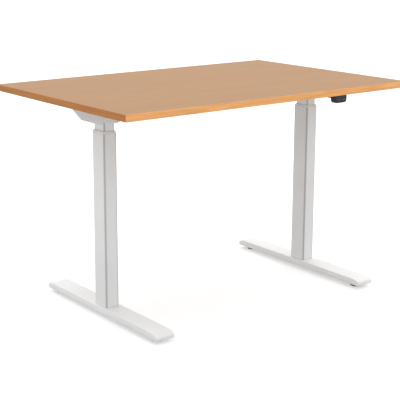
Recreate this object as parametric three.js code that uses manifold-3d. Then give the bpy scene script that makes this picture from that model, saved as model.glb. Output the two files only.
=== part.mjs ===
// Height adjustable standing desk: a beech board on a steel frame with two motorised telescopic columns.
// Millimetres, +Z up. The origin is on the floor under the middle of the tabletop; the user sits at -Y.
// Each leg is drawn in its own group, whose origin is on the floor under the column's axis.

import * as THREE from 'three';
import { mergeVertices } from 'three/addons/utils/BufferGeometryUtils.js';
import Module from 'manifold-3d';

const wasm = await Module();
wasm.setup();

// Driving dimensions.
const gap = 0.3; // between pieces that touch
const running = 0.6; // round a turning or sliding piece
const cutThrough = 1; // how far a cutting solid runs past a face

const topWidth = 1200;
const topDepth = 800;
const topThickness = 22;
const topHeight = 745; // work surface at rest
const bandThickness = 2;

const columnSpacing = 896; // between the two column axes
const columnY = -47;
const tubeWall = 2;
const innerTube = { x: 40, y: 60, radius: 4, intoBracket: 15, clearBelow: 7.7 };
const tubeStep = 10; // the outer tube's size over the inner one's
const outerTube = { x: innerTube.x + tubeStep, y: innerTube.y + tubeStep, radius: 5, belowBracket: 26 };
const tubeOverlap = 87; // left between the tubes with the top right up
const collarFlange = 5;
const collarSkirt = 28;
const sleeveHeight = 40;

const foot = { length: 670, width: 70, top: 34, bottom: 12, wall: 3, roll: 36, tip: 11, heel: 4 };
const levelling = { inset: 45, padRadius: 20, padHeight: 6, neckRadius: 8, studRadius: 4, studTop: 28 };
const bossWall = 5;
const basePlate = 8;
const boltRadius = 4;
const boltHeadRadius = 6.5;
const boltHead = 8;
const boltSpread = 24; // each side of the column's axis, along Y

const lowering = 20; // travel downwards from rest
const screwRadius = 7;
const journalRadius = 5;
const screwClearBelow = 3; // left under the lead screw with the top right down
const nutRadius = 15;
const nutFlange = 8;
const nutSpigot = 20;
const nutTube = { radius: 14, wall: 2.2 };
const screwPastNut = 4.7; // lead screw left below the nut with the top right up

const bracket = {
  depth: 69.7, flatHalf: 57, topHalf: 190, wall: 2.5, outboard: innerTube.x / 2 + 5, inboard: 50, flange: 45,
};
const flangeScrewRadius = 2.2;
const cableHoleRadius = 7;
const notchFromBox = 45; // cable notches in the rear crossbar, from the control box's ends
const notchDepth = 24;

const gearbox = { outboard: innerTube.x / 2, inboard: 30, halfDepth: 30, clearAbove: 6.7, cover: 2.5 };
const wheel = { radius: 9.6, root: 8, teeth: 20, thickness: 12 };
const worm = { radius: 5, shaft: 3, thread: 26 };
const wormDrop = 35.7; // worm's axis below the board
const motor = { radius: 19, length: 78, rear: 14, shaftDepth: 12 };

const rail = { y: 75, width: 30, height: 40, wall: 2 };

const controlBox = { fromColumn: 328, length: 220, width: 92, height: 36, wall: 2.4, plate: 3, ears: 12 };
const boardThickness = 1.6;
const boardMargin = 4; // round a circuit board in its case
const boardParts = {
  transformer: { x: -22, y: -10, side: 36, height: 18 },
  relay: { x: 20, y: 4, width: 18, depth: 20, height: 14, spacing: 26 },
  capacitor: { x: 40, y: -20, radius: 9, height: 20 },
};
const inlet = { length: 20, width: 27, height: 20, recess: 15, rim: 3, y: -22 };
const socketRadius = 5;
const socketY = 22;

const handset = {
  fromColumn: 170, setback: 2, width: 52, height: 25, depth: 24, wall: 2, chamfer: 7, flange: 4, reach: 68,
};
const button = { width: 14, height: 8, proud: 1, travel: 0.8, lip: 1.5, thickness: 1.4, spread: 11, drop: 14 };

const boreSides = 16;
const motorCableRadius = 3;
const handsetCableRadius = 2;
const clipSize = { left: 7, right: 12, halfDepth: 5, wall: 2, play: 2, turn: Math.PI / 12 };
const cableSides = 8;
const cableSteps = 48;

// Places that follow from them.
const underside = topHeight - topThickness;
const seat = underside - gap; // top of what is fastened under the board
const columnX = columnSpacing / 2;
const bracketBottom = seat - bracket.depth;
const outerTop = bracketBottom - outerTube.belowBracket;
const innerTop = bracketBottom + innerTube.intoBracket;
const gearboxTop = seat - gearbox.clearAbove;
const wormZ = seat - wormDrop;
const baseTop = foot.top + gap + basePlate;
const innerBottom = baseTop + lowering + innerTube.clearBelow;
const raising = outerTop - tubeOverlap - innerBottom; // travel upwards from rest
const screwBottom = baseTop + lowering + screwClearBelow;
const nutTubeTop = screwBottom + raising + nutSpigot + screwPastNut;
const controlBoxX = columnX - controlBox.fromColumn;
const handsetX = columnX - handset.fromColumn;
const handsetFront = topDepth / 2 - handset.setback;
const railEndX = columnX - bracket.inboard - gap;
const wormOffset = wheel.radius + worm.radius + 0.4; // worm axis from the lead screw's axis, inboard
const meshY = gearbox.halfDepth;

const finish = {
  laminate: [0xc8a47e, 0.5, 0],
  beech: [0xe9a466, 0.5, 0],
  white: [0xe9e9e9, 0.45, 0.1],
  collar: [0xe4e4e4, 0.6, 0],
  steel: [0xb9bcc0, 0.35, 0.9],
  brass: [0xb99a50, 0.35, 0.9],
  cast: [0xa7aaad, 0.5, 0.8],
  motor: [0x3a3c40, 0.4, 0.8],
  black: [0x2a2a2b, 0.55, 0],
  grey: [0x6d696c, 0.5, 0],
  board: [0x2f6b3f, 0.5, 0],
  rubber: [0x1c1c1d, 0.85, 0],
};

const desk = new THREE.Group();

// Solids ------------------------------------------------------------------------------------------

// A closed three.js geometry as a manifold solid.
function solid(geometry) {
  const bare = geometry.clone();
  bare.deleteAttribute('normal');
  bare.deleteAttribute('uv');
  const merged = mergeVertices(bare, 1e-4);
  return new wasm.Manifold(new wasm.Mesh({
    numProp: 3,
    vertProperties: merged.attributes.position.array,
    triVerts: new Uint32Array(merged.index.array),
  }));
}

function geometryOf(shape) {
  const mesh = shape.getMesh();
  const geometry = new THREE.BufferGeometry();
  geometry.setAttribute('position', new THREE.BufferAttribute(new Float32Array(mesh.vertProperties), 3));
  geometry.setIndex(new THREE.BufferAttribute(new Uint32Array(mesh.triVerts), 1));
  geometry.computeVertexNormals();
  return geometry;
}

function cut(body, ...tools) {
  return geometryOf(tools.reduce((left, tool) => left.subtract(solid(tool)), solid(body)));
}

function join(...bodies) {
  return geometryOf(bodies.slice(1).reduce((whole, body) => whole.add(solid(body)), solid(bodies[0])));
}

// A box from its lowest and highest corners.
function block(low, high) {
  const size = high.map((value, axis) => value - low[axis]);
  const middle = high.map((value, axis) => (value + low[axis]) / 2);
  return new THREE.BoxGeometry(...size).translate(...middle);
}

// A prism along +Z between two heights.
function prism(shape, bottom, top, curveSegments = 4) {
  const settings = { depth: top - bottom, bevelEnabled: false, curveSegments };
  return new THREE.ExtrudeGeometry(shape, settings).translate(0, 0, bottom);
}

// A prism along +X of an outline drawn in the Y-Z plane.
function sidePrism(shape, left, right, curveSegments = 6) {
  const turn = new THREE.Matrix4().makeBasis(
    new THREE.Vector3(0, 1, 0),
    new THREE.Vector3(0, 0, 1),
    new THREE.Vector3(1, 0, 0),
  );
  return prism(shape, left, right, curveSegments).applyMatrix4(turn);
}

// A prism along +Y of an outline drawn in the X-Z plane.
function frontPrism(shape, front, back) {
  return prism(shape, -back, -front).rotateX(Math.PI / 2);
}

function outline(points) {
  return new THREE.Shape(points.map(([x, y]) => new THREE.Vector2(x, y)));
}

function roundedRectangle(width, depth, radius) {
  const x = width / 2;
  const y = depth / 2;
  const shape = new THREE.Shape();
  shape.moveTo(x - radius, -y);
  shape.absarc(x - radius, radius - y, radius, -Math.PI / 2, 0);
  shape.absarc(x - radius, y - radius, radius, 0, Math.PI / 2);
  shape.absarc(radius - x, y - radius, radius, Math.PI / 2, Math.PI);
  shape.absarc(radius - x, radius - y, radius, Math.PI, 1.5 * Math.PI);
  return shape;
}

// A rectangular ring with rounded corners; the inner corner keeps the wall even.
function tubePrism(width, depth, radius, wall, bottom, top) {
  const shape = roundedRectangle(width, depth, radius);
  const innerRadius = Math.max(radius - wall, 0.5);
  shape.holes.push(roundedRectangle(width - 2 * wall, depth - 2 * wall, innerRadius));
  return prism(shape, bottom, top, 3);
}

// An upright turned solid from [radius, height] pairs.
function turned(profile, sides = boreSides) {
  const points = profile.map(([radius, height]) => new THREE.Vector2(radius, height));
  return new THREE.LatheGeometry(points, sides).rotateX(Math.PI / 2);
}

function rod(radius, bottom, top, sides = boreSides) {
  return turned([[0, bottom], [radius, bottom], [radius, top], [0, top]], sides);
}

// A bore's polygon is drawn large enough for its flats to stand clear of the pin.
function bore(radius, bottom, top, sides = boreSides) {
  return rod(radius / Math.cos(Math.PI / sides), bottom, top, sides);
}

function ring(inner, outer, bottom, top, sides = boreSides) {
  const clear = inner / Math.cos(Math.PI / sides);
  return turned([[clear, bottom], [outer, bottom], [outer, top], [clear, top], [clear, bottom]], sides);
}

function cable(points, radius) {
  const path = new THREE.CatmullRomCurve3(points.map((point) => new THREE.Vector3(...point)), false, 'centripetal');
  const section = new THREE.Shape();
  section.absarc(0, 0, radius, 0, 2 * Math.PI);
  const settings = { steps: cableSteps, extrudePath: path, curveSegments: cableSides / 2, bevelEnabled: false };
  return new THREE.ExtrudeGeometry(section, settings);
}

function add(parent, name, geometry, [color, roughness, metalness]) {
  const material = new THREE.MeshStandardMaterial({ color, roughness, metalness });
  const mesh = new THREE.Mesh(geometry, material);
  mesh.name = name;
  parent.add(mesh);
  return mesh;
}

// Tabletop ----------------------------------------------------------------------------------------

function buildTabletop() {
  const top = new THREE.Group();
  top.position.z = underside;
  desk.add(top);
  const coreX = topWidth / 2 - bandThickness - gap;
  const coreY = topDepth / 2 - bandThickness - gap;
  add(top, 'tabletop_board', block([-coreX, -coreY, 0], [coreX, coreY, topThickness]), finish.laminate);
  for (const [end, name] of [[-1, 'front'], [1, 'rear']]) {
    const band = new THREE.BoxGeometry(topWidth, bandThickness, topThickness);
    const mesh = add(top, `edge_band_${name}`, band, finish.beech);
    mesh.position.set(0, end * (topDepth - bandThickness) / 2, topThickness / 2);
  }
  for (const [end, name] of [[-1, 'left'], [1, 'right']]) {
    const band = new THREE.BoxGeometry(bandThickness, 2 * coreY, topThickness);
    const mesh = add(top, `edge_band_${name}`, band, finish.beech);
    mesh.position.set(end * (topWidth - bandThickness) / 2, 0, topThickness / 2);
  }
}

// Foot: an open-bottomed bar with bosses for the levelling feet ------------------------------------

// Side outline of the foot bar, shrunk by an inset on every side but the open bottom.
function footOutline(inset, bottom) {
  const end = foot.length / 2 - inset;
  const top = foot.top - inset;
  const drop = foot.tip;
  const heel = Math.min(foot.heel, foot.tip / 2);
  const shape = new THREE.Shape();
  shape.moveTo(heel - end, bottom);
  shape.lineTo(end - heel, bottom);
  shape.quadraticCurveTo(end, bottom, end, bottom + heel);
  shape.lineTo(end, top - drop);
  shape.absellipse(end - foot.roll, top - drop, foot.roll, drop, 0, Math.PI / 2, false, 0);
  shape.lineTo(foot.roll - end, top);
  shape.absellipse(foot.roll - end, top - drop, foot.roll, drop, Math.PI / 2, Math.PI, false, 0);
  shape.lineTo(-end, bottom + heel);
  shape.quadraticCurveTo(-end, bottom, heel - end, bottom);
  return shape;
}

function levellingPlaces() {
  const reach = foot.length / 2 - levelling.inset;
  return [['front', -reach], ['rear', reach]];
}

function buildFootBar(leg, side) {
  const half = foot.width / 2;
  const body = sidePrism(footOutline(0, foot.bottom), -half, half);
  const hollow = sidePrism(footOutline(foot.wall, foot.bottom - cutThrough), foot.wall - half, half - foot.wall);
  const ceiling = foot.top - foot.wall;
  let bar = solid(body).subtract(solid(hollow));
  for (const [, y] of levellingPlaces()) {
    const boss = rod(levelling.studRadius + bossWall, foot.bottom, ceiling + 1).translate(0, y, 0);
    const tapped = bore(levelling.studRadius + gap, foot.bottom - cutThrough, ceiling - 1).translate(0, y, 0);
    bar = bar.add(solid(boss)).subtract(solid(tapped));
  }
  for (const end of [-1, 1]) {
    const hole = bore(boltRadius + gap, ceiling - cutThrough, foot.top + cutThrough);
    bar = bar.subtract(solid(hole.translate(0, end * boltSpread, 0)));
  }
  add(leg, `foot_bar_${side}`, geometryOf(bar), finish.white);
}

function buildLevellingFeet(leg, side) {
  const { padRadius, padHeight, neckRadius, studRadius, studTop } = levelling;
  const shoulder = foot.bottom - gap;
  const profile = [
    [0, 0], [padRadius - 1, 0], [padRadius, 1], [padRadius, padHeight - 2], [padRadius - 4, padHeight],
    [neckRadius, padHeight + 1], [neckRadius, shoulder], [studRadius, shoulder], [studRadius, studTop], [0, studTop],
  ];
  for (const [end, y] of levellingPlaces()) {
    const mesh = add(leg, `levelling_foot_${side}_${end}`, turned(profile), finish.rubber);
    mesh.position.y = y;
  }
}

function buildFootBolts(leg, side) {
  const seatZ = foot.top - foot.wall - gap;
  const tip = baseTop - 1;
  const profile = [
    [0, seatZ - boltHead], [boltHeadRadius - 1, seatZ - boltHead], [boltHeadRadius, seatZ - boltHead + 1],
    [boltHeadRadius, seatZ], [boltRadius, seatZ], [boltRadius, tip], [0, tip],
  ];
  for (const [end, name] of [[-1, 'front'], [1, 'rear']]) {
    const mesh = add(leg, `foot_bolt_${side}_${name}`, turned(profile, 16), finish.steel);
    mesh.position.y = end * boltSpread;
  }
}

// Lower column ------------------------------------------------------------------------------------

function buildColumnBase(leg, side) {
  const inside = tubeWall + gap;
  const plate = prism(
    roundedRectangle(outerTube.x - 2 * inside, outerTube.y - 2 * inside, outerTube.radius - tubeWall),
    foot.top + gap,
    baseTop,
  );
  const socketFloor = baseTop - basePlate / 2;
  const socket = bore(nutTube.radius + gap, socketFloor, baseTop + cutThrough);
  const holes = [-1, 1].map((end) => (
    bore(boltRadius + gap, foot.top - cutThrough, baseTop + cutThrough).translate(0, end * boltSpread, 0)
  ));
  add(leg, `column_base_${side}`, cut(plate, socket, ...holes), finish.steel);
  const tube = ring(nutTube.radius - nutTube.wall, nutTube.radius, socketFloor + gap, nutTubeTop);
  add(leg, `nut_tube_${side}`, tube, finish.steel);
}

function buildOuterTube(leg, side) {
  const { x, y, radius } = outerTube;
  add(leg, `outer_tube_${side}`, tubePrism(x, y, radius, tubeWall, foot.top + gap, outerTop), finish.white);
}

// Flange on the outer tube's end and a skirt down inside it; the inner tube slides through.
function buildCollar(leg, side) {
  const { x, y, radius } = outerTube;
  const flangeBottom = outerTop + gap;
  const flange = prism(roundedRectangle(x - 1, y - 1, radius), flangeBottom, flangeBottom + collarFlange);
  const inside = tubeWall + gap;
  const skirt = prism(
    roundedRectangle(x - 2 * inside, y - 2 * inside, radius - tubeWall),
    outerTop - collarSkirt,
    flangeBottom + 1,
  );
  const passage = prism(
    roundedRectangle(innerTube.x + 2 * running, innerTube.y + 2 * running, innerTube.radius),
    outerTop - collarSkirt - cutThrough,
    flangeBottom + collarFlange + cutThrough,
  );
  const collar = solid(flange).add(solid(skirt)).subtract(solid(passage));
  add(leg, `tube_collar_${side}`, geometryOf(collar), finish.collar);
}

function buildNut(leg, side) {
  const spigot = nutTube.radius - nutTube.wall - gap;
  const hole = (screwRadius + running) / Math.cos(Math.PI / boreSides);
  const bottom = nutTubeTop - nutSpigot;
  const shoulder = nutTubeTop + gap;
  const top = shoulder + nutFlange;
  const nut = turned([
    [hole, bottom], [spigot, bottom], [spigot, shoulder], [nutRadius, shoulder],
    [nutRadius, top], [hole, top], [hole, bottom],
  ]);
  add(leg, `lead_screw_nut_${side}`, nut, finish.brass);
}

// Upper column, which moves with the tabletop -------------------------------------------------------

function buildInnerTube(leg, side) {
  const { x, y, radius } = innerTube;
  add(leg, `inner_tube_${side}`, tubePrism(x, y, radius, tubeWall, innerBottom, innerTop), finish.white);
  const space = 2 * (tubeWall + running);
  const sleeve = roundedRectangle(outerTube.x - space, outerTube.y - space, outerTube.radius - tubeWall);
  sleeve.holes.push(roundedRectangle(x + 2 * gap, y + 2 * gap, radius));
  const sleevePrism = prism(sleeve, innerBottom, innerBottom + sleeveHeight, 3);
  add(leg, `glide_sleeve_${side}`, sleevePrism, finish.collar);
}

function buildLeadScrew(leg, side) {
  const neck = innerTop + gap - 2;
  const tip = gearboxTop - 4;
  const screw = turned([
    [0, screwBottom], [screwRadius - 1, screwBottom], [screwRadius, screwBottom + 1], [screwRadius, neck],
    [journalRadius, neck], [journalRadius, tip], [0, tip],
  ]);
  add(leg, `lead_screw_${side}`, screw, finish.steel);
}

function buildWormWheel(leg, side) {
  const points = [];
  const pitch = 2 * Math.PI / wheel.teeth;
  for (let tooth = 0; tooth < wheel.teeth; tooth += 1) {
    for (const [share, radius] of [[0, wheel.root], [0.2, wheel.radius], [0.5, wheel.radius], [0.7, wheel.root]]) {
      const angle = (tooth + share) * pitch;
      points.push([radius * Math.cos(angle), radius * Math.sin(angle)]);
    }
  }
  const shape = outline(points);
  const hole = new THREE.Path();
  hole.absarc(0, 0, (journalRadius + gap) / Math.cos(Math.PI / boreSides), 0, 2 * Math.PI);
  shape.holes.push(hole);
  const gear = prism(shape, wormZ - wheel.thickness / 2, wormZ + wheel.thickness / 2, boreSides / 2);
  add(leg, `worm_wheel_${side}`, gear, finish.brass);
}

// The housing sits on the inner tube; its pocket for the wheel opens upwards, under the cover.
function buildGearbox(leg, side, inboard) {
  const across = [-inboard * gearbox.outboard, inboard * gearbox.inboard].sort((a, b) => a - b);
  const bottom = innerTop + gap;
  const body = block([across[0], -gearbox.halfDepth, bottom], [across[1], gearbox.halfDepth, gearboxTop]);
  const pocket = bore(wheel.radius + running, wormZ - wheel.thickness / 2 - 1, gearboxTop + cutThrough);
  const screwHole = bore(screwRadius + running, bottom - cutThrough, wormZ);
  const wormTunnel = bore(worm.radius + running, -gearbox.halfDepth / 2 - 8, gearbox.halfDepth + cutThrough)
    .rotateX(-Math.PI / 2)
    .translate(inboard * wormOffset, 0, wormZ);
  add(leg, `gearbox_housing_${side}`, cut(body, pocket, screwHole, wormTunnel), finish.cast);
  const coverBottom = gearboxTop + gap;
  const cover = block(
    [across[0], -gearbox.halfDepth, coverBottom],
    [across[1], gearbox.halfDepth, coverBottom + gearbox.cover],
  );
  add(leg, `gearbox_cover_${side}`, cover, finish.cast);
}

function buildMotor(leg, side, inboard) {
  const { radius, length, rear, shaftDepth } = motor;
  const can = turned([
    [0, 0], [radius - 2, 0], [radius, 2], [radius, length - rear], [radius - 2, length - rear + 1],
    [radius - 2, length - 2], [radius - 4, length], [0, length],
  ], 24);
  const shaftHole = bore(worm.shaft + running, -cutThrough, shaftDepth + 1);
  const frontY = meshY + gap;
  const mesh = add(leg, `motor_${side}`, cut(can, shaftHole), finish.motor);
  mesh.rotation.x = -Math.PI / 2;
  mesh.position.set(inboard * wormOffset, frontY, wormZ);
  const half = worm.thread / 2;
  const nose = half - 2;
  const shaft = turned([
    [0, -nose], [worm.radius - 1, -nose], [worm.radius, 1 - nose], [worm.radius, half], [worm.shaft, half + 1],
    [worm.shaft, frontY + shaftDepth], [0, frontY + shaftDepth],
  ]);
  const wormMesh = add(leg, `motor_worm_${side}`, shaft, finish.steel);
  wormMesh.rotation.x = -Math.PI / 2;
  wormMesh.position.set(inboard * wormOffset, 0, wormZ);
}

// Bracket: a trapezoid tray whose open side faces the board, centred under it ------------------------

function bracketOutline(inset, bottom, top) {
  const slope = (bracket.topHalf - bracket.flatHalf) / bracket.depth;
  const shift = inset * Math.hypot(slope, 1);
  const half = (z) => bracket.flatHalf + (z - bracketBottom) * slope - shift;
  return outline([[-half(bottom), bottom], [half(bottom), bottom], [half(top), top], [-half(top), top]]);
}

function buildBracket(sign, side) {
  const { topHalf, wall, outboard, inboard, flange } = bracket;
  const [left, right] = [sign * (columnX + outboard), sign * (columnX - inboard)].sort((a, b) => a - b);
  const body = sidePrism(bracketOutline(0, bracketBottom, seat), left, right);
  const hollow = sidePrism(
    bracketOutline(wall, bracketBottom + wall, seat - wall),
    left + wall,
    right - wall,
  );
  const mouthHalf = topHalf - flange;
  const mouth = block([left + wall, -mouthHalf, seat - wall - 1], [right - wall, mouthHalf, seat + cutThrough]);
  const passage = prism(
    roundedRectangle(innerTube.x + 2 * gap, innerTube.y + 2 * gap, innerTube.radius),
    bracketBottom - cutThrough,
    seat + cutThrough,
  ).translate(sign * columnX, columnY, 0);
  const cableHole = bore(cableHoleRadius, 0, bracket.inboard)
    .rotateY(-sign * Math.PI / 2)
    .translate(sign * (columnX - inboard / 2), rail.y, wormZ + 5);
  const screwHoles = [-1, 1].map((end) => (
    bore(flangeScrewRadius, seat - 2 * wall, seat + cutThrough, 12)
      .translate((left + right) / 2, end * (topHalf - flange / 2), 0)
  ));
  add(desk, `side_bracket_${side}`, cut(body, hollow, mouth, passage, cableHole, ...screwHoles), finish.white);
}

// Crossbars: channels open upwards, with a notch for the cables in the rear one ----------------------

function buildCrossbars() {
  const { y, width, height, wall } = rail;
  const bottom = seat - height;
  for (const [sign, name] of [[-1, 'front'], [1, 'rear']]) {
    const low = sign * y - width / 2;
    const high = sign * y + width / 2;
    const body = block([-railEndX, low, bottom], [railEndX, high, seat]);
    const channel = block(
      [-railEndX - cutThrough, low + wall, bottom + wall],
      [railEndX + cutThrough, high - wall, seat + cutThrough],
    );
    const notches = sign > 0 ? cableNotches(low, wall) : [];
    add(desk, `crossbar_${name}`, cut(body, channel, ...notches), finish.white);
  }
}

function cableNotches(low, wall) {
  return [-1, 1].map((end) => {
    const x = notchX(end);
    return block(
      [x - 2 * cableHoleRadius, low - cutThrough, seat - notchDepth],
      [x + 2 * cableHoleRadius, low + wall + cutThrough, seat + cutThrough],
    );
  });
}

function notchX(end) {
  return controlBoxX + end * (controlBox.length / 2 + notchFromBox);
}

// Control box under the board, between the crossbars ------------------------------------------------

function buildControlBox() {
  const { length, width, height, wall, plate, ears } = controlBox;
  const box = new THREE.Group();
  box.position.set(controlBoxX, 0, seat);
  desk.add(box);
  const halfX = length / 2;
  const halfY = width / 2;
  const lid = block([-halfX - ears, -halfY, -plate], [halfX + ears, halfY, 0]);
  add(box, 'control_box_base', lid, finish.black);
  const top = -plate - gap;
  const shell = block([-halfX, -halfY, -height], [halfX, halfY, top]);
  const inside = block([wall - halfX, wall - halfY, wall - height], [halfX - wall, halfY - wall, top + cutThrough]);
  const sockets = [-1, 1].map((end) => (
    bore(socketRadius, -wall, wall + cutThrough).rotateY(Math.PI / 2).translate(end * halfX, socketY, -height / 2)
  ));
  const handsetSocket = bore(handsetCableRadius + 1, -wall, wall + cutThrough)
    .rotateX(Math.PI / 2)
    .translate(halfX / 2, -halfY, -height / 2);
  const inletY = inlet.y;
  const window = block(
    [-halfX - cutThrough, inletY - inlet.width / 2 - gap, -height / 2 - inlet.height / 2 - gap],
    [wall - halfX + cutThrough, inletY + inlet.width / 2 + gap, -height / 2 + inlet.height / 2 + gap],
  );
  add(box, 'control_box_cover', cut(shell, inside, ...sockets, handsetSocket, window), finish.black);
  const socketBody = block(
    [-halfX, inletY - inlet.width / 2, -height / 2 - inlet.height / 2],
    [inlet.length - halfX, inletY + inlet.width / 2, -height / 2 + inlet.height / 2],
  );
  const recess = block(
    [-halfX - cutThrough, inletY - inlet.width / 2 + inlet.rim, -height / 2 - inlet.height / 2 + inlet.rim],
    [inlet.recess - halfX, inletY + inlet.width / 2 - inlet.rim, -height / 2 + inlet.height / 2 - inlet.rim],
  );
  add(box, 'mains_inlet', cut(socketBody, recess), finish.black);
  add(box, 'control_board', controlBoard(halfX, halfY), finish.board);
}

// A board that hangs in the cover, with a transformer, a relay for each motor and a capacitor under it.
function controlBoard(halfX, halfY) {
  const margin = controlBox.wall + boardMargin;
  const top = -controlBox.plate - gap - boardMargin;
  const sheet = block(
    [inlet.length - halfX + boardMargin, margin - halfY, top - boardThickness],
    [halfX - margin, halfY - margin, top],
  );
  const parts = top - boardThickness + 0.5;
  const { transformer, relay, capacitor } = boardParts;
  const core = block(
    [-transformer.side / 2, -transformer.side / 2, parts - transformer.height],
    [transformer.side / 2, transformer.side / 2, parts],
  ).translate(transformer.x, transformer.y, 0);
  const relays = [0, 1].map((place) => (
    block([0, 0, parts - relay.height], [relay.width, relay.depth, parts])
      .translate(relay.x + place * relay.spacing, relay.y, 0)
  ));
  const can = rod(capacitor.radius, parts - capacitor.height, parts).translate(capacitor.x, capacitor.y, 0);
  return join(sheet, core, ...relays, can);
}

// Handset under the front edge ------------------------------------------------------------------------

function buildHandset() {
  const { width, height, depth, wall, chamfer, flange, reach } = handset;
  const unit = new THREE.Group();
  unit.position.set(handsetX, -handsetFront, seat);
  desk.add(unit);
  const half = width / 2;
  const nose = frontPrism(outline([
    [-half, 0], [-half, chamfer - height], [chamfer - half, -height],
    [half - chamfer, -height], [half, chamfer - height], [half, 0],
  ]), 0, depth);
  const tongue = block([-half, depth - 1, -flange], [half, reach, 0]);
  const hollow = block([wall + 2 - half, wall, chamfer / 2 - height], [half - wall - 2, depth - wall, cutThrough]);
  const openings = [-1, 1].map((end) => block(
    [end * button.spread - button.width / 2, -cutThrough, -button.drop - button.height / 2],
    [end * button.spread + button.width / 2, wall + cutThrough, -button.drop + button.height / 2],
  ));
  const cableHole = bore(handsetCableRadius + 1, -cutThrough, 2 * wall + cutThrough)
    .rotateX(-Math.PI / 2)
    .translate(0, depth - 2 * wall, -button.drop);
  const screwHoles = [-1, 1].map((end) => (
    bore(flangeScrewRadius, -flange - cutThrough, cutThrough, 12).translate(end * width / 4, reach - 10, 0)
  ));
  const housing = solid(nose).add(solid(tongue));
  const finished = [hollow, ...openings, cableHole, ...screwHoles]
    .reduce((left, tool) => left.subtract(solid(tool)), housing);
  add(unit, 'handset_housing', geometryOf(finished), finish.black);
  for (const [end, name] of [[-1, 'down'], [1, 'up']]) {
    add(unit, `button_${name}`, buttonSolid(), finish.grey).position.set(end * button.spread, 0, -button.drop);
  }
  const boardFront = buttonBack() + button.travel + gap;
  const boardHalf = half - wall - 2 - 1;
  const board = block(
    [-boardHalf, boardFront, chamfer / 2 - height + 1],
    [boardHalf, boardFront + boardThickness, -2],
  );
  add(unit, 'handset_board', board, finish.board);
}

function buttonBack() {
  return handset.wall + gap + button.lip + button.thickness;
}

// A cap through the front wall, a lip behind the wall that keeps it in, and a stem for the switch.
function buttonSolid() {
  const { width, height, proud, lip } = button;
  const w = width / 2 - gap;
  const h = height / 2 - gap;
  const behind = handset.wall + gap;
  const cap = block([-w, -proud, -h], [w, behind + lip, h]);
  const collar = block([-w - 1.5, behind, -h - 1.5], [w + 1.5, behind + lip, h + 1.5]);
  const stem = block([-2, behind, -2], [2, buttonBack(), 2]);
  return join(cap, collar, stem);
}

// Cables, held the whole way by what they lie in ------------------------------------------------------

function buildMotorCable(sign, side) {
  const motorX = sign * (columnX - wormOffset);
  const startY = columnY + meshY + gap + motor.length + gap;
  const holeX = sign * (columnX - bracket.inboard);
  const z = wormZ + 5;
  const bed = seat - rail.height + rail.wall + motorCableRadius + 1;
  const turnX = notchX(sign);
  const runStart = holeX - sign * 28;
  const runEnd = turnX + sign * 40;
  const boxEnd = controlBoxX + sign * (controlBox.length / 2 + gap);
  const plugZ = seat - controlBox.height / 2;
  const points = [
    [motorX, startY, wormZ],
    [motorX, startY + 6, wormZ],
    [motorX - sign * 6, startY + 11, wormZ + 2],
    [motorX - sign * 18, rail.y, z],
    [holeX, rail.y, z],
    [runStart, rail.y, bed + 1],
    [runStart - sign * 20, rail.y, bed],
    [runEnd + sign * 20, rail.y, bed],
    [runEnd, rail.y, bed + 1],
    [turnX + sign * 12, rail.y - 3, plugZ - 2],
    [turnX, rail.y - rail.width / 2, plugZ],
    [turnX - sign * 12, (rail.y + socketY) / 2 - 10, plugZ],
    [boxEnd + sign * 18, socketY, plugZ],
    [boxEnd, socketY, plugZ],
  ];
  add(desk, `motor_cable_${side}`, cable(points, motorCableRadius), finish.black);
}

function handsetCablePlaces() {
  return {
    start: [handsetX, -handsetFront + handset.depth + gap, seat - button.drop],
    end: [controlBoxX + controlBox.length / 4, -controlBox.width / 2 - gap, seat - controlBox.height / 2],
    run: seat - handsetCableRadius - 3,
    clipY: -(rail.y + handsetFront - handset.reach) / 2,
    clipX: handsetX - 30,
  };
}

function buildHandsetCable() {
  const { start, end, run, clipX, clipY } = handsetCablePlaces();
  const under = seat - rail.height - handsetCableRadius - 2;
  const points = [
    start,
    [start[0], start[1] + 15, start[2]],
    [start[0], start[1] + 45, start[2] + 2],
    [start[0] - 8, start[1] + 70, run],
    [clipX, clipY, run],
    [clipX - 30, clipY + 50, run - 10],
    [end[0] + 30, -rail.y - rail.width / 2 - 10, under + 2],
    [end[0] + 12, -rail.y, under],
    [end[0], -rail.y + rail.width / 2 + 4, under + 2],
    [end[0], end[1] - 7, end[2] - 2],
    end,
  ];
  add(desk, 'handset_cable', cable(points, handsetCableRadius), finish.black);
}

// A saddle clip over the handset's cable, flat against the board.
function buildCableClip() {
  const { run, clipX, clipY } = handsetCablePlaces();
  const { left, right, halfDepth, wall, play } = clipSize;
  const under = run - handsetCableRadius - seat;
  const reach = handsetCableRadius + play;
  const saddle = block([-left, -halfDepth, under - wall], [right, halfDepth, 0]);
  const slot = block(
    [-reach, -halfDepth - cutThrough, under - 2 * gap],
    [reach, halfDepth + cutThrough, cutThrough],
  );
  const clip = add(desk, 'cable_clip', cut(saddle, slot), finish.collar);
  clip.position.set(clipX, clipY, seat);
  clip.rotation.z = clipSize.turn;
}

// Assembly ----------------------------------------------------------------------------------------

function buildLeg(sign, side) {
  const leg = new THREE.Group();
  leg.position.set(sign * columnX, columnY, 0);
  desk.add(leg);
  buildFootBar(leg, side);
  buildLevellingFeet(leg, side);
  buildFootBolts(leg, side);
  buildColumnBase(leg, side);
  buildOuterTube(leg, side);
  buildCollar(leg, side);
  buildNut(leg, side);
  buildInnerTube(leg, side);
  buildLeadScrew(leg, side);
  buildWormWheel(leg, side);
  buildGearbox(leg, side, -sign);
  buildMotor(leg, side, -sign);
  buildBracket(sign, side);
  buildMotorCable(sign, side);
}

buildTabletop();
buildLeg(-1, 'left');
buildLeg(1, 'right');
buildCrossbars();
buildControlBox();
buildHandset();
buildHandsetCable();
buildCableClip();

export default desk;
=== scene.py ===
"""Looks of the height adjustable desk: finer pieces, materials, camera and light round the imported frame."""

import math

import bmesh
import bpy
from mathutils import Matrix, Vector


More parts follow.
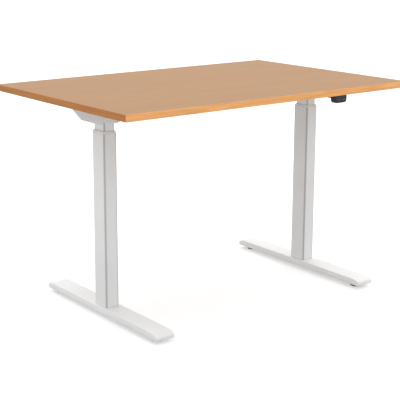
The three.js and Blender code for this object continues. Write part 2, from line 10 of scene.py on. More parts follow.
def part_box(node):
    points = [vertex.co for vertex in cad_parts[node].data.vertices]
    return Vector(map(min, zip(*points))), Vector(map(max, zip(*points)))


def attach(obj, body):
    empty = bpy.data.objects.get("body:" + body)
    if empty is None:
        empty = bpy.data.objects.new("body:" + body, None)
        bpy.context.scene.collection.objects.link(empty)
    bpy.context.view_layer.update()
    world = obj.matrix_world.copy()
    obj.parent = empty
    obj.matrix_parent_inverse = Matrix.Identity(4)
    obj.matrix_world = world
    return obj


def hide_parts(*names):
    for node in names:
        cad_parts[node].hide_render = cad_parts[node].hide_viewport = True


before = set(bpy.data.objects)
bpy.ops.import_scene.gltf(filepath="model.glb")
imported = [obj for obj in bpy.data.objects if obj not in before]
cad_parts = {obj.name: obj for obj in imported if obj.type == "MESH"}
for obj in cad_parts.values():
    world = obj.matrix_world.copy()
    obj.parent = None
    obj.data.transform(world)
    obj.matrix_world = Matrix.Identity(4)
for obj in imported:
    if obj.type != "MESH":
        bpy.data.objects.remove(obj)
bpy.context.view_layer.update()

MM = 0.001
SIDES = ("left", "right")
ENDS = (("front", -1), ("rear", 1))

# Camera, in metres and radians.
CAMERA_PLACE = (-2.3058, -2.9383, 1.2671)
CAMERA_YAW = 0.6429
CAMERA_PITCH = 0.2297
CAMERA_LENS = 96.26
CAMERA_SHIFT = (0.05, -0.05)

# Details that the frame leaves plain.
TUBE_WALL = 2 * MM
OUTER_CORNER = 5 * MM
INNER_CORNER = 4 * MM
EDGE_BREAK = 0.5 * MM
FOOT_WALL = 3 * MM
FOOT_ROLL = 36 * MM
FOOT_TIP = 11 * MM
FOOT_HEEL = 4 * MM
FOOT_EDGE = 2.2 * MM
BRACKET_WALL = 2.5 * MM
BRACKET_FLAT_HALF = 57 * MM
BRACKET_FLANGE = 45 * MM
THREAD_PITCH = 4 * MM
STUD_RADIUS = 4 * MM
STUD_PITCH = 1.25 * MM
# Points this far from a corner or an end keep the painted corner shade narrow.
CORNER_MARGINS = (0.3 * MM, 0.7 * MM, 1.1 * MM)


# Materials ---------------------------------------------------------------------------------------

class Shader:
    """A material's node tree with a Principled shader, and short calls that add nodes to it."""

    def __init__(self, name, color, roughness, metallic=0.0):
        self.material = bpy.data.materials.new(name)
        self.material.use_nodes = True
        self.tree = self.material.node_tree
        self.surface = self.tree.nodes["Principled BSDF"]
        self.surface.inputs["Base Color"].default_value = (*color, 1)
        self.surface.inputs["Roughness"].default_value = roughness
        self.surface.inputs["Metallic"].default_value = metallic

    def node(self, kind, **values):
        made = self.tree.nodes.new(kind)
        for name, value in values.items():
            setattr(made, name, value)
        return made

    def link(self, source, target):
        self.tree.links.new(source, target)

    def coordinates(self, scale=(1, 1, 1)):
        """Object coordinates in metres, stretched by scale."""
        place = self.node("ShaderNodeTexCoord")
        mapping = self.node("ShaderNodeMapping")
        mapping.inputs["Scale"].default_value = scale
        self.link(place.outputs["Object"], mapping.inputs["Vector"])
        return mapping.outputs["Vector"]

    def noise(self, vector, scale, detail=3.0, roughness=0.5, distortion=0.0):
        noise = self.node("ShaderNodeTexNoise")
        noise.inputs["Scale"].default_value = scale
        noise.inputs["Detail"].default_value = detail
        noise.inputs["Roughness"].default_value = roughness
        noise.inputs["Distortion"].default_value = distortion
        self.link(vector, noise.inputs["Vector"])
        return noise.outputs["Fac"]

    def ramp(self, value, low, high, start=0.3, end=0.7):
        """Turns a 0 to 1 value into a colour between low and high."""
        ramp = self.node("ShaderNodeValToRGB")
        first, last = ramp.color_ramp.elements
        first.position, first.color = start, (*low, 1)
        last.position, last.color = end, (*high, 1)
        self.link(value, ramp.inputs["Fac"])
        return ramp.outputs["Color"]

    def span(self, value, low, high, start=0.0, end=1.0):
        """Maps a value from start..end to low..high."""
        span = self.node("ShaderNodeMapRange")
        span.inputs["From Min"].default_value = start
        span.inputs["From Max"].default_value = end
        span.inputs["To Min"].default_value = low
        span.inputs["To Max"].default_value = high
        self.link(value, span.inputs["Value"])
        return span.outputs["Result"]

    def mix(self, share, first, second, blend="MIX"):
        mix = self.node("ShaderNodeMix", data_type="RGBA", blend_type=blend)
        for source, socket in ((share, mix.inputs[0]), (first, mix.inputs[6]), (second, mix.inputs[7])):
            if isinstance(source, (int, float)):
                socket.default_value = source
            elif isinstance(source, tuple):
                socket.default_value = (*source, 1)
            else:
                self.link(source, socket)
        return mix.outputs[2]

    def color(self, source):
        self.link(source, self.surface.inputs["Base Color"])

    def roughness(self, source):
        self.link(source, self.surface.inputs["Roughness"])

    def bump(self, height, strength, distance):
        bump = self.node("ShaderNodeBump")
        bump.inputs["Strength"].default_value = strength
        bump.inputs["Distance"].default_value = distance
        self.link(height, bump.inputs["Height"])
        self.link(bump.outputs["Normal"], self.surface.inputs["Normal"])


def scaled(color, factor):
    return tuple(channel * factor for channel in color)


def beech(name, color, grain, contrast=1.0, roughness=0.45, streak=9):
    """Beech print: broad soft streaks, fine fibres and the short dark flecks of the wood's rays.

    grain squeezes the pattern along the grain's direction, so that it runs long that way.
    streak is how many streaks there are to a metre across it."""
    shader = Shader(name, color, roughness)
    shader.surface.inputs["Specular IOR Level"].default_value = 0.3
    vector = shader.coordinates(grain)
    streaks = shader.noise(vector, streak, 4, 0.55, 0.6)
    base = shader.ramp(
        streaks,
        scaled(color, 1 - 0.14 * contrast),
        scaled(color, 1 + 0.10 * contrast),
    )
    blotches = shader.noise(shader.coordinates(), 3.2, 2)
    warm = shader.mix(shader.span(blotches, 0, 0.5, 0.35, 0.65), base, tuple(
        min(1, channel * tint) for channel, tint in zip(color, (1.04, 0.96, 0.90))
    ))
    fibres = shader.noise(vector, 90, 3, 0.7)
    fine = shader.mix(shader.span(fibres, 0, 0.5 * contrast, 0.45, 0.8), warm, scaled(color, 0.78))
    squeezed = tuple(0.22 + 0.78 * (value if value == 1 else value * 4) for value in grain)
    flecks = shader.noise(shader.coordinates(squeezed), 420, 1)
    marks = shader.mix(shader.span(flecks, 0, 0.35 * contrast, 0.66, 0.74), fine, scaled(color, 0.55))
    shader.color(marks)
    shader.roughness(shader.span(fibres, roughness - 0.06, roughness + 0.08))
    shader.bump(flecks, 0.08, 0.2 * MM)
    return shader.material


def powder_coat(name, color, roughness=0.46, corner_shade=0.0):
    """Fine-textured paint: an even skin with a small orange peel and faint handling dust.

    corner_shade paints shade onto outer corners, darkening them the way a rounded corner turns into shade."""
    shader = Shader(name, color, roughness)
    vector = shader.coordinates()
    dust = shader.noise(vector, 7, 4)
    coat = shader.ramp(dust, scaled(color, 0.965), scaled(color, 1.015))
    if corner_shade:
        # Painted shade: outer corners are darkened towards black by their pointiness, and the cut ends are
        # left out.
        bend = shader.node("ShaderNodeNewGeometry").outputs["Pointiness"]
        rounding = shader.span(bend, 0, corner_shade, *CORNER_BEND)
        cut_end = shader.span(bend, 0, 1, *CUT_END_BEND)
        painted_corner_shade = shader.mix(cut_end, rounding, (0, 0, 0))
        coat = shader.mix(painted_corner_shade, coat, (0, 0, 0))
    shader.color(coat)
    peel = shader.noise(vector, 1400, 2)
    shader.roughness(shader.span(shader.noise(vector, 160, 3), roughness - 0.05, roughness + 0.07))
    shader.bump(peel, 0.18, 0.08 * MM)
    return shader.material


def moulded(name, color, roughness=0.5, grain=900, depth=0.12):
    """Moulded plastic or rubber with a spark-eroded skin."""
    shader = Shader(name, color, roughness)
    vector = shader.coordinates()
    shader.color(shader.ramp(shader.noise(vector, 25, 3), scaled(color, 0.88), scaled(color, 1.15)))
    shader.roughness(shader.span(shader.noise(vector, 220, 2), roughness - 0.06, roughness + 0.08))
    shader.bump(shader.noise(vector, grain, 2), 0.3, depth * MM)
    return shader.material


def metal(name, color, roughness, stretch=(1, 1, 1), scale=240, depth=0.03):
    """Bare or plated metal, with its tool or drawing marks along the direction that stretch squeezes."""
    shader = Shader(name, color, roughness, 1.0)
    marks = shader.noise(shader.coordinates(stretch), scale, 3)
    shader.color(shader.ramp(marks, scaled(color, 0.86), scaled(color, 1.08)))
    cloud = shader.noise(shader.coordinates(), 30, 3)
    shader.roughness(shader.span(cloud, roughness - 0.08, roughness + 0.12))
    shader.bump(marks, 0.25, depth * MM)
    return shader.material


def circuit_board(name):
    """Green solder mask over faint copper tracks."""
    green = (0.02, 0.12, 0.045)
    shader = Shader(name, green, 0.35)
    vector = shader.coordinates()
    cells = shader.node("ShaderNodeTexVoronoi", distance="MANHATTAN", feature="DISTANCE_TO_EDGE")
    cells.inputs["Scale"].default_value = 160
    shader.link(vector, cells.inputs["Vector"])
    tracks = shader.span(cells.outputs["Distance"], 1, 0, 0.04, 0.08)
    shader.color(shader.mix(tracks, green, (0.05, 0.22, 0.08)))
    shader.bump(tracks, 0.3, 0.05 * MM)
    return shader.material


# Pointiness ranges of the painted corner shade: from a flat face to a tube's rounded corner, and from there
# to its cut end, where the shade is kept off.
CORNER_BEND = (0.503, 0.512)
CUT_END_BEND = (0.52, 0.55)

# The print runs along the desk's width, and along each band's own length.
ALONG_X = (0.06, 1, 1)
ALONG_Y = (1, 0.06, 1)

MATERIALS = {
    "laminate": beech("beech_laminate", (0.37, 0.195, 0.075), ALONG_X, 0.55, 0.52),
    "band_x": beech("beech_band_front", (0.89, 0.44, 0.155), ALONG_X, 1.4, streak=110),
    # The left and right bands take a darker copy of the front band's beech: painted shade on the desk's
    # sides.
    "band_y_painted_shade": beech("beech_band_side_painted_shade", (0.49, 0.192, 0.038), ALONG_Y, 1.6, streak=110),
    "white_steel": powder_coat("white_powder_coat", (0.88, 0.88, 0.88)),
    # A darker copy of the white coat for the brackets and crossbars: painted shade under the board.
    "bracket_steel_painted_shade": powder_coat("white_coat_painted_shade", (0.74, 0.74, 0.74)),
    # A darker copy of the white coat for the tubes, with painted corner shade: painted shade on their upright
    # faces.
    "tube_steel_painted_shade": powder_coat("white_tube_coat_painted_shade", (0.82, 0.82, 0.82), 0.46, 0.4),
    "white_plastic": moulded("white_nylon", (0.82, 0.82, 0.82), 0.55, 700, 0.06),
    "plain_steel": metal("zinc_plated_steel", (0.62, 0.63, 0.66), 0.34),
    "motor_steel": powder_coat("black_motor_paint", (0.035, 0.035, 0.038), 0.36),
    "cast_aluminium": metal("die_cast_aluminium", (0.56, 0.57, 0.58), 0.5, (1, 1, 1), 500, 0.12),
    "brass": metal("turned_brass", (0.72, 0.50, 0.20), 0.3, (0.2, 0.2, 1), 900),
    "black_plastic": moulded("black_moulding", (0.016, 0.016, 0.018), 0.5),
    "grey_plastic": moulded("grey_key", (0.035, 0.035, 0.037), 0.45, 1200, 0.04),
    "key_mark": moulded("grey_key_mark", (0.16, 0.15, 0.16), 0.5, 1200, 0.02),
    "circuit_board": circuit_board("green_solder_mask"),
    "cable_black": moulded("black_cable_sheath", (0.022, 0.022, 0.024), 0.42, 1600, 0.03),
    "rubber": moulded("black_rubber", (0.018, 0.018, 0.019), 0.75, 800, 0.1),
}


# Meshes ------------------------------------------------------------------------------------------

def piece(name, bm, material, body, *nodes, slot=None, smooth=35):
    """Finishes a mesh as a piece that rides on a body and stands for CAD nodes."""
    bmesh.ops.remove_doubles(bm, verts=bm.verts, dist=1e-6)
    bmesh.ops.recalc_face_normals(bm, faces=bm.faces)
    limit = math.radians(smooth)
    for edge in bm.edges:
        edge.smooth = len(edge.link_faces) == 2 and edge.calc_face_angle(math.pi) < limit
    for face in bm.faces:
        face.smooth = True
    mesh = bpy.data.meshes.new(name)
    bm.to_mesh(mesh)
    bm.free()
    mesh.materials.append(MATERIALS[material])
    made = bpy.data.objects.new(name, mesh)
    bpy.context.scene.collection.objects.link(made)
    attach(made, body)
    if nodes:
        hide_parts(*nodes)
    return made


def rounded(made, width, segments=3, angle=40):
    bevel = made.modifiers.new("edge_break", "BEVEL")
    bevel.width = width
    bevel.segments = segments
    bevel.limit_method = "ANGLE"
    bevel.angle_limit = math.radians(angle)
    bevel.harden_normals = False
    return made


def arc(center, radius, start, end, steps):
    """Points on a circle's or an ellipse's arc, with its angles in degrees."""
    rx, ry = radius if isinstance(radius, tuple) else (radius, radius)
    angles = [math.radians(start + (end - start) * step / steps) for step in range(steps + 1)]
    return [(center[0] + rx * math.cos(a), center[1] + ry * math.sin(a)) for a in angles]


def rounded_rectangle(half_x, half_y, radius, steps=8):
    """An outline with rounded corners; a few points on each flat keep a corner's shading off it."""
    points = []
    for sx, sy, start in ((1, 1, 0), (-1, 1, 90), (-1, -1, 180), (1, -1, 270)):
        corner = arc((sx * (half_x - radius), sy * (half_y - radius)), radius, start, start + 90, steps)
        ahead = Vector((-math.sin(math.radians(start)), math.cos(math.radians(start))))
        across = Vector((-ahead.y, ahead.x))
        points += [tuple(Vector(corner[0]) - ahead * reach) for reach in reversed(CORNER_MARGINS)]
        points += corner
        points += [tuple(Vector(corner[-1]) + across * reach) for reach in CORNER_MARGINS]
    return points


def loop(bm, points):
    return [bm.verts.new(point) for point in points]


def bridge(bm, first, second, closed=True):
    count = len(first)
    for index in range(count if closed else count - 1):
        after = (index + 1) % count
        bm.faces.new((first[index], first[after], second[after], second[index]))


def skin(bm, loops, closed_ends=False, around=False):
    """Bridges a row of loops; around joins the last loop to the first."""
    rows = [loop(bm, points) for points in loops]
    for first, second in zip(rows, rows[1:]):
        bridge(bm, first, second)
    if around:
        bridge(bm, rows[-1], rows[0])
    if closed_ends:
        bm.faces.new(rows[0])
        bm.faces.new(rows[-1])


def turned(profile, sides=40):
    """An upright turned mesh from (radius, height) pairs that start and end on the axis."""
    bm = bmesh.new()
    rings = []
    for radius, height in profile[1:-1]:
        rings.append([
            (radius * math.cos(2 * math.pi * k / sides), radius * math.sin(2 * math.pi * k / sides), height)
            for k in range(sides)
        ])
    skin(bm, rings, closed_ends=True)
    return bm


def moved(bm, place, facing=(0, 0, 1)):
    """Turns an upright mesh to face another way and moves its origin to a place."""
    turn = Vector((0, 0, 1)).rotation_difference(Vector(facing)).to_matrix().to_4x4()
    bmesh.ops.transform(bm, matrix=Matrix.Translation(place) @ turn, verts=bm.verts)
    return bm


def middle(node):
    low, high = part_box(node)
    return (low + high) / 2


# Legs --------------------------------------------------------------------------------------------

def tube(name, node, corner, body):
    """A rectangular steel tube with rounded corners, its ends deburred inside and out."""
    low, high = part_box(node)
    center = (low + high) / 2
    half_x, half_y = (high.x - low.x) / 2, (high.y - low.y) / 2

    def ring(inset, radius, z):
        outline = rounded_rectangle(half_x - inset, half_y - inset, radius)
        return [(center.x + x, center.y + y, z) for x, y in outline]

    inner = corner - TUBE_WALL
    edge = EDGE_BREAK
    # Extra loops near the ends keep the painted corner shade off the flats.
    rises = [edge, *(edge + reach for reach in CORNER_MARGINS)]
    heights = [low.z + rise for rise in rises] + [high.z - rise for rise in reversed(rises)]
    bm = bmesh.new()
    skin(bm, [
        *(ring(0, corner, z) for z in heights),
        ring(edge, corner - edge, high.z), ring(TUBE_WALL - edge, inner + edge, high.z),
        ring(TUBE_WALL, inner, high.z - edge), ring(TUBE_WALL, inner, low.z + edge),
        ring(TUBE_WALL - edge, inner + edge, low.z), ring(edge, corner - edge, low.z),
    ], around=True)
    piece(name, bm, "tube_steel_painted_shade", body, node, slot="white_steel")


def foot_outline(inset, bottom, half, top):
    """Side outline of a foot bar as (y, z) pairs, from the rear heel round over the top to the front one."""
    end = half - inset
    crown = top - inset
    shoulder = crown - FOOT_TIP
    roll = (FOOT_ROLL, FOOT_TIP)
    points = arc((end - FOOT_HEEL, bottom + FOOT_HEEL), FOOT_HEEL, -90, 0, 5)
    points += arc((end - FOOT_ROLL, shoulder), roll, 0, 90, 20)
    points += arc((FOOT_ROLL - end, shoulder), roll, 90, 180, 20)
    points += arc((FOOT_HEEL - end, bottom + FOOT_HEEL), FOOT_HEEL, 180, 270, 5)
    return points


def foot_bar(side):
    """A bent and welded bar, open below, with rounded long edges and threaded bosses for its feet."""
    node = f"foot_bar_{side}"
    low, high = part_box(node)
    center = (low + high) / 2
    half_x, half_y = (high.x - low.x) / 2, (high.y - low.y) / 2

    def side_loop(inset, x):
        outline = foot_outline(inset, low.z, half_y, high.z)
        return [(center.x + x, center.y + y, z) for y, z in outline]

    rounding = [(FOOT_EDGE - rise, FOOT_EDGE - run) for run, rise in arc((0, 0), FOOT_EDGE, 0, 90, 5)]
    rows = [(inset, across - half_x) for inset, across in rounding]
    rows += [(inset, half_x - across) for inset, across in reversed(rounding)]
    bm = bmesh.new()
    shells = []
    for offsets in (rows, [(FOOT_WALL, FOOT_WALL - half_x), (FOOT_WALL, half_x - FOOT_WALL)]):
        loops = [loop(bm, side_loop(inset, x)) for inset, x in offsets]
        for first, second in zip(loops, loops[1:]):
            bridge(bm, first, second, closed=False)
        bm.faces.new(loops[0])
        bm.faces.new(loops[-1])
        shells.append(loops)
    rim_outer = [row[0] for row in shells[0]] + [row[-1] for row in reversed(shells[0])]
    rim_inner = [shells[1][0][0], shells[1][-1][0], shells[1][-1][-1], shells[1][0][-1]]
    edges = []
    for rim in (rim_outer, rim_inner):
        for first, second in zip(rim, rim[1:] + rim[:1]):
            edges.append(bm.edges.get((first, second)) or bm.edges.new((first, second)))
    bmesh.ops.triangle_fill(bm, edges=edges, use_beauty=True)
    piece(f"foot_bar_{side}_coated", bm, "white_steel", "legs", node)
    for end, _ in ENDS:
        threaded_boss(side, end, low.z, high.z - FOOT_WALL)


def threaded_boss(side, end, bottom, top):
    """The welded sleeve that a levelling foot screws into."""
    place = middle(f"levelling_foot_{side}_{end}")
    outer, inner = 9 * MM, 4.3 * MM
    edge = EDGE_BREAK
    bm = bmesh.new()
    sides = 32

    def ring(radius, z):
        angles = [2 * math.pi * k / sides for k in range(sides)]
        return [(place.x + radius * math.cos(a), place.y + radius * math.sin(a), z) for a in angles]

    skin(bm, [
        ring(outer, top), ring(outer, bottom + edge), ring(outer - edge, bottom),
        ring(inner + edge, bottom), ring(inner, bottom + edge), ring(inner, top),
    ], around=True)
    piece(f"levelling_boss_{side}_{end}", bm, "white_steel", "legs")


def levelling_foot(side, end):
    """A rubber-shod pad on a hexagon and a threaded stud."""
    node = f"levelling_foot_{side}_{end}"
    low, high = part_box(node)
    center = (low + high) / 2
    radius = (high.x - low.x) / 2
    pad = 6 * MM
    profile = [(0, 0), (radius - 2 * MM, 0)]
    profile += arc((radius - 1.2 * MM, 1.2 * MM), 1.2 * MM, -90, 0, 4)
    profile += arc((radius - 1.6 * MM, pad - 2.6 * MM), 1.6 * MM, 0, 75, 5)
    crown = pad + 0.9 * MM
    profile += [(radius - 6 * MM, pad), (9 * MM, pad + 0.8 * MM), (6 * MM, crown), (0, crown)]
    bm = moved(turned(profile, 48), (center.x, center.y, low.z))
    piece(f"{node}_pad", bm, "rubber", node, node)
    hexagon = bmesh.new()
    corner = 7.6 * MM
    heights = (crown, pad + 5.6 * MM)
    loops = [
        [
            (center.x + corner * math.cos(math.pi * k / 3), center.y + corner * math.sin(math.pi * k / 3), z)
            for k in range(6)
        ]
        for z in heights
    ]
    skin(hexagon, loops, closed_ends=True)
    rounded(piece(f"{node}_hexagon", hexagon, "plain_steel", node, slot="rubber", smooth=20), 0.4 * MM)
    thread(
        f"{node}_stud", center, heights[1], high.z, STUD_RADIUS, STUD_PITCH,
        "plain_steel", node, slot="rubber",
    )


def thread(name, center, bottom, top, radius, pitch, material, body, *nodes, slot=None, depth=None):
    """A threaded rod: a single helix swept round a core, fading out at both ends."""
    depth = depth or 0.6 * pitch
    sides = 20
    steps_per_pitch = 6
    rows = max(2, int((top - bottom) / pitch * steps_per_pitch))
    bm = bmesh.new()
    loops = []
    for row in range(rows + 1):
        z = bottom + (top - bottom) * row / rows
        fade = min(1, row / steps_per_pitch, (rows - row) / steps_per_pitch)
        points = []
        for k in range(sides):
            phase = ((z - bottom) / pitch - k / sides) % 1
            crest = min(1, max(0, 1.6 - 4 * abs(phase - 0.5)))
            r = radius - depth + depth * crest * fade
            angle = 2 * math.pi * k / sides
            points.append((center.x + r * math.cos(angle), center.y + r * math.sin(angle), z))
        loops.append(points)
    skin(bm, loops, closed_ends=True)
    piece(name, bm, material, body, *nodes, slot=slot, smooth=50)


def collar(side):
    """Plastic guide ring on the outer tube's end, with a soft lip and its skirt inside the tube."""
    node = f"tube_collar_{side}"
    low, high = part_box(node)
    center = (low + high) / 2
    half_x, half_y = (high.x - low.x) / 2, (high.y - low.y) / 2
    flange = high.z - 5 * MM
    lip = 1.2 * MM
    corner = OUTER_CORNER
    inner_low, inner_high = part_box(f"inner_tube_{side}")
    clear = 0.6 * MM
    hole_x = (inner_high.x - inner_low.x) / 2 + clear
    hole_y = (inner_high.y - inner_low.y) / 2 + clear
    skirt_x, skirt_y = half_x - 1.8 * MM, half_y - 1.8 * MM

    def ring(x, y, radius, z):
        return [(center.x + px, center.y + py, z) for px, py in rounded_rectangle(x, y, radius)]

    loops = [ring(skirt_x, skirt_y, 3 * MM, low.z), ring(skirt_x, skirt_y, 3 * MM, flange)]
    loops += [ring(half_x, half_y, corner, flange)]
    for inset, height in arc((0, 0), lip, 0, 90, 4):
        shrink = lip - inset
        loops.append(ring(half_x - shrink, half_y - shrink, corner - shrink, high.z - lip + height))
    loops += [
        ring(hole_x + 0.8 * MM, hole_y + 0.8 * MM, INNER_CORNER, high.z),
        ring(hole_x, hole_y, INNER_CORNER, high.z - 0.8 * MM),
        ring(hole_x, hole_y, INNER_CORNER, low.z),
    ]
    bm = bmesh.new()
    skin(bm, loops, around=True)
    piece(f"{node}_moulded", bm, "white_plastic", "legs", node)


def leg(side):
    tube(f"outer_tube_{side}_coated", f"outer_tube_{side}", OUTER_CORNER, "legs")
    tube(f"inner_tube_{side}_coated", f"inner_tube_{side}", INNER_CORNER, "desk_lift")
    collar(side)
    foot_bar(side)
    for end, _ in ENDS:
        levelling_foot(side, end)
    low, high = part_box(f"lead_screw_{side}")
    center = (low + high) / 2
    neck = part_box(f"gearbox_housing_{side}")[0].z
    thread(
        f"lead_screw_{side}_threaded", center, low.z, neck, (high.x - low.x) / 2, THREAD_PITCH,
        "plain_steel", f"lead_screw_{side}", f"lead_screw_{side}", depth=1.6 * MM,
    )
    journal = [(0, 0), (5 * MM, 0), (5 * MM, high.z - neck - EDGE_BREAK)]
    journal += [(5 * MM - EDGE_BREAK, high.z - neck), (0, high.z - neck)]
    bm = moved(turned(journal), (center.x, center.y, neck))
    piece(f"lead_screw_{side}_journal", bm, "plain_steel", f"lead_screw_{side}")


# Bracket and drive -------------------------------------------------------------------------------

def bracket(side):
    """A tray bent from sheet: flat bottom, two slanted ends and two sides, open towards the board."""
    node = f"side_bracket_{side}"
    low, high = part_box(node)
    top_half = (high.y - low.y) / 2
    rows = [(-top_half, high.z), (-BRACKET_FLAT_HALF, low.z), (BRACKET_FLAT_HALF, low.z), (top_half, high.z)]
    bm = bmesh.new()
    left = loop(bm, [(low.x, y, z) for y, z in rows])
    right = loop(bm, [(high.x, y, z) for y, z in rows])
    bridge(bm, left, right, closed=False)
    for row in (left, right):
        bm.faces.new(row)
    inner = top_half - BRACKET_FLANGE
    for edge, end in ((0, -1), (-1, 1)):
        flange = loop(bm, [(x, end * inner, high.z) for x in (low.x, high.x)])
        bm.faces.new((left[edge], right[edge], flange[1], flange[0]))
    # The tray takes the darker copy of the white coat, which is painted shade.
    made = piece(f"{node}_folded", bm, "bracket_steel_painted_shade", "desk_lift", node, slot="white_steel", smooth=30)
    rounded(made, 2.2 * MM, 4)
    sheet = made.modifiers.new("sheet", "SOLIDIFY")
    sheet.thickness = BRACKET_WALL
    sheet.offset = -1
    rounded(made, 0.3 * MM, 2, 60)


def cap_screw(name, place, direction, body, head=4.2 * MM, height=2.6 * MM, slot="plain_steel"):
    """A pan head, its top facing along direction, with a thin black cross laid on it as painted shade for the
    hollow of its cross drive.
    """
    profile = [(0, 0), (head - 0.3 * MM, 0), (head, 0.3 * MM)]
    profile += arc((head - height + 0.4 * MM, 0.4 * MM), height - 0.4 * MM, 0, 80, 6)
    top = profile[-1][1]
    profile += [(0, top)]
    piece(name, moved(turned(profile, 28), place, direction), "plain_steel", body, slot=slot)
    # A thin black cross on the head: painted shade standing for the hollow of its cross drive.
    painted_recess_shade = bmesh.new()
    arm, blade = head * 0.5, head * 0.12
    cross = [
        (blade, blade), (blade, arm), (-blade, arm), (-blade, blade), (-arm, blade), (-arm, -blade),
        (-blade, -blade), (-blade, -arm), (blade, -arm), (blade, -blade), (arm, -blade), (arm, blade),
    ]
    heights = (top - 0.05 * MM, top + 0.08 * MM)
    skin(painted_recess_shade, [[(x, y, z) for x, y in cross] for z in heights], closed_ends=True)
    piece(f"{name}_recess", moved(painted_recess_shade, place, direction), "black_plastic", body, slot=slot)


def bracket_screws(side):
    """Screws through the bracket's flanges into the board, seen through the tray from below."""
    low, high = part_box(f"side_bracket_{side}")
    x = (low.x + high.x) / 2
    reach = (high.y - low.y) / 2 - BRACKET_FLANGE / 2
    for end, sign in ENDS:
        place = (x, sign * reach, high.z - BRACKET_WALL)
        cap_screw(f"bracket_screw_{side}_{end}", place, (0, 0, -1), "desk_lift")


def motor(side):
    """A gear motor's can with a rolled seam, a rear cap and its bearing boss."""
    node = f"motor_{side}"
    low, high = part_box(node)
    length = high.y - low.y
    radius = (high.x - low.x) / 2
    cap = length - 14 * MM
    profile = [(0, 0), (radius - 3 * MM, 0)]
    profile += arc((radius - 2 * MM, 2 * MM), 2 * MM, -90, 0, 5)
    profile += [
        (radius, 9 * MM), (radius - 0.7 * MM, 9.6 * MM), (radius - 0.7 * MM, 11 * MM), (radius, 11.6 * MM),
        (radius, cap), (radius - 1.2 * MM, cap + 0.6 * MM), (radius - 1.2 * MM, length - 5 * MM),
    ]
    profile += arc((radius - 3.7 * MM, length - 5 * MM), 2.5 * MM, 0, 90, 5)
    profile += [(9 * MM, length - 2.5 * MM), (8 * MM, length - 0.4 * MM), (6 * MM, length), (0, length)]
    center = (low + high) / 2
    bm = moved(turned(profile, 48), (center.x, low.y, center.z), (0, 1, 0))
    piece(f"{node}_can", bm, "motor_steel", "desk_lift", node)


def control_box_screws():
    """A screw in each corner of the plate that holds the control box under the board."""
    base_low, base_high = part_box("control_box_base")
    cover_low, cover_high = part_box("control_box_cover")
    inset = 14 * MM
    columns = ((base_low.x + cover_low.x) / 2, (base_high.x + cover_high.x) / 2)
    rows = (base_low.y + inset, base_high.y - inset)
    places = [(x, y, base_low.z) for x in columns for y in rows]
    for index, place in enumerate(places):
        cap_screw(f"control_box_screw_{index + 1}", place, (0, 0, -1), "desk_lift")


# Handset -----------------------------------------------------------------------------------------

def handset():
    """A small housing with softened lower corners, a screwed tongue behind it and two keys with arrows."""
    low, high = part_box("handset_housing")
    chamfer = 7 * MM
    depth = 24 * MM
    tongue = 4 * MM
    left, right, bottom, top = low.x, high.x, low.z, high.z
    back = low.y + depth
    outline = [
        (left, top), (left, bottom + chamfer), (left + chamfer * 0.8, bottom),
        (right - chamfer * 0.8, bottom), (right, bottom + chamfer), (right, top),
    ]
    bm = bmesh.new()
    skin(bm, [[(x, y, z) for x, z in outline] for y in (low.y, back)], closed_ends=True)
    rounded(piece("handset_nose", bm, "black_plastic", "desk_lift", "handset_housing"), 1.2 * MM, 4, 25)
    bm = bmesh.new()
    corner = 3 * MM
    corners = [
        (left, back), (right, back), (right, high.y - corner), (right - corner, high.y),
        (left + corner, high.y), (left, high.y - corner),
    ]
    skin(bm, [[(x, y, z) for x, y in corners] for z in (top - tongue, top)], closed_ends=True)
    rounded(piece("handset_tongue", bm, "black_plastic", "desk_lift"), 0.8 * MM, 3)
    for index, sign in enumerate((-1, 1)):
        place = ((left + right) / 2 + sign * 13 * MM, high.y - 10 * MM, top - tongue)
        cap_screw(f"handset_screw_{index + 1}", place, (0, 0, -1), "desk_lift", 3.2 * MM, 2 * MM)
    for name, upward in (("down", -1), ("up", 1)):
        key(name, upward)


def key(name, upward):
    """A key cap with rounded edges and a raised arrow."""
    node = f"button_{name}"
    low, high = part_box(node)
    lip = 1.5 * MM
    center = (low + high) / 2
    half_x = (high.x - low.x) / 2 - lip
    half_z = (high.z - low.z) / 2 - lip

    def ring(inset, y):
        outline = rounded_rectangle(half_x - inset, half_z - inset, 1.2 * MM, 5)
        return [(center.x + x, y, center.z + z) for x, z in outline]

    face_y = low.y + 0.3 * MM
    bm = bmesh.new()
    skin(bm, [ring(0, high.y), ring(0, face_y + 0.3 * MM), ring(0.3 * MM, face_y)], closed_ends=True)
    piece(f"{node}_cap", bm, "grey_plastic", node, node)
    arrow = bmesh.new()
    size = 2.3 * MM
    tip = upward * size
    points = [(-size, -tip * 0.6), (size, -tip * 0.6), (0, tip * 0.9)]
    depths = (face_y + 0.1 * MM, low.y + 0.05 * MM)
    skin(arrow, [[(center.x + x, y, center.z + z) for x, z in points] for y in depths], closed_ends=True)
    piece(f"{node}_arrow", arrow, "key_mark", node, slot="grey_plastic")


# CAD nodes that keep their shape ------------------------------------------------------------------

KEPT = {
    "tabletop_board": ("laminate", 0.3),
    "edge_band_front": ("band_x", 0.7),
    "edge_band_rear": ("band_x", 0.7),
    "edge_band_left": ("band_y_painted_shade", 0.7),
    "edge_band_right": ("band_y_painted_shade", 0.7),
    # The crossbars take the darker copy of the white coat, which is painted shade.
    "crossbar_front": ("bracket_steel_painted_shade", 1.0),
    "crossbar_rear": ("bracket_steel_painted_shade", 1.0),
    "control_box_base": ("black_plastic", 1.0),
    "control_box_cover": ("black_plastic", 1.2),
    "mains_inlet": ("black_plastic", 0.5),
    "control_board": ("circuit_board", 0.0),
    "handset_board": ("circuit_board", 0.0),
    "cable_clip": ("white_plastic", 0.5),
    "motor_cable_left": ("cable_black", 0.0),
    "motor_cable_right": ("cable_black", 0.0),
    "handset_cable": ("cable_black", 0.0),
}

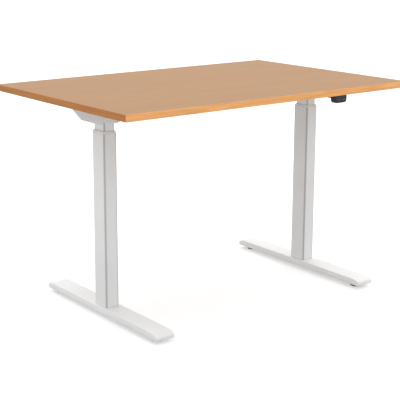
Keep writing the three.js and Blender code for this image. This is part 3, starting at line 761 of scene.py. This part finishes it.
KEPT_BOTH_SIDES = {
    "foot_bolt_{}_front": ("plain_steel", 0.4),
    "foot_bolt_{}_rear": ("plain_steel", 0.4),
    "column_base_{}": ("plain_steel", 0.5),
    "nut_tube_{}": ("plain_steel", 0.0),
    "lead_screw_nut_{}": ("brass", 0.4),
    "glide_sleeve_{}": ("white_plastic", 0.4),
    "worm_wheel_{}": ("brass", 0.2),
    "motor_worm_{}": ("plain_steel", 0.2),
    "gearbox_housing_{}": ("cast_aluminium", 1.2),
    "gearbox_cover_{}": ("cast_aluminium", 0.8),
}


def dress(node, material, edge):
    """Gives a CAD node its material, welds its corners for shading and breaks its sharp edges."""
    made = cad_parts[node]
    made.data.materials.clear()
    made.data.materials.append(MATERIALS[material])
    weld = made.modifiers.new("weld", "WELD")
    weld.merge_threshold = 1e-5
    if edge:
        rounded(made, edge * MM, 3, 40)
    if "cable" in node:
        smooth = made.modifiers.new("round", "SUBSURF")
        smooth.levels = 2
        smooth.render_levels = 2


def dress_kept_nodes():
    for node, (material, edge) in KEPT.items():
        dress(node, material, edge)
    for side in SIDES:
        for pattern, (material, edge) in KEPT_BOTH_SIDES.items():
            dress(pattern.format(side), material, edge)


# Setting -----------------------------------------------------------------------------------------

def make_camera():
    data = bpy.data.cameras.new("camera")
    data.lens = CAMERA_LENS
    data.sensor_width = 36
    data.shift_x, data.shift_y = CAMERA_SHIFT
    camera = bpy.data.objects.new("camera", data)
    camera.location = CAMERA_PLACE
    camera.rotation_euler = (math.pi / 2 - CAMERA_PITCH, 0, -CAMERA_YAW)
    bpy.context.scene.collection.objects.link(camera)
    bpy.context.scene.camera = camera


def floor_paper():
    """Pale paper that looks white but throws only a little light back up at the desk."""
    paper = Shader("white_floor", (0.6, 0.6, 0.6), 0.9)
    seen = paper.node("ShaderNodeLightPath").outputs["Is Camera Ray"]
    paper.surface.inputs["Emission Color"].default_value = (1, 1, 1, 1)
    paper.link(paper.span(seen, 0, 0.5), paper.surface.inputs["Emission Strength"])
    return paper.material


def make_floor():
    size = 60
    bm = bmesh.new()
    bm.faces.new(loop(bm, [(-size, -size, 0), (size, -size, 0), (size, size, 0), (-size, size, 0)]))
    mesh = bpy.data.meshes.new("floor")
    bm.to_mesh(mesh)
    bm.free()
    mesh.materials.append(floor_paper())
    floor = bpy.data.objects.new("floor", mesh)
    bpy.context.scene.collection.objects.link(floor)


def make_light():
    world = bpy.data.worlds.new("studio")
    world.use_nodes = True
    background = world.node_tree.nodes["Background"]
    background.inputs["Color"].default_value = (1, 1, 1, 1)
    background.inputs["Strength"].default_value = 1.0
    bpy.context.scene.world = world
    data = bpy.data.lights.new("softbox", "SUN")
    data.energy = 1.2
    data.angle = math.radians(75)
    light = bpy.data.objects.new("softbox", data)
    towards = Vector((-0.35, -0.35, -1))
    light.rotation_mode = "QUATERNION"
    light.rotation_quaternion = towards.to_track_quat("-Z", "Y")
    bpy.context.scene.collection.objects.link(light)
    bpy.context.scene.view_settings.view_transform = "Standard"


make_camera()
make_light()
make_floor()
dress_kept_nodes()
for leg_side in SIDES:
    leg(leg_side)
    bracket(leg_side)
    bracket_screws(leg_side)
    motor(leg_side)
control_box_screws()
handset()
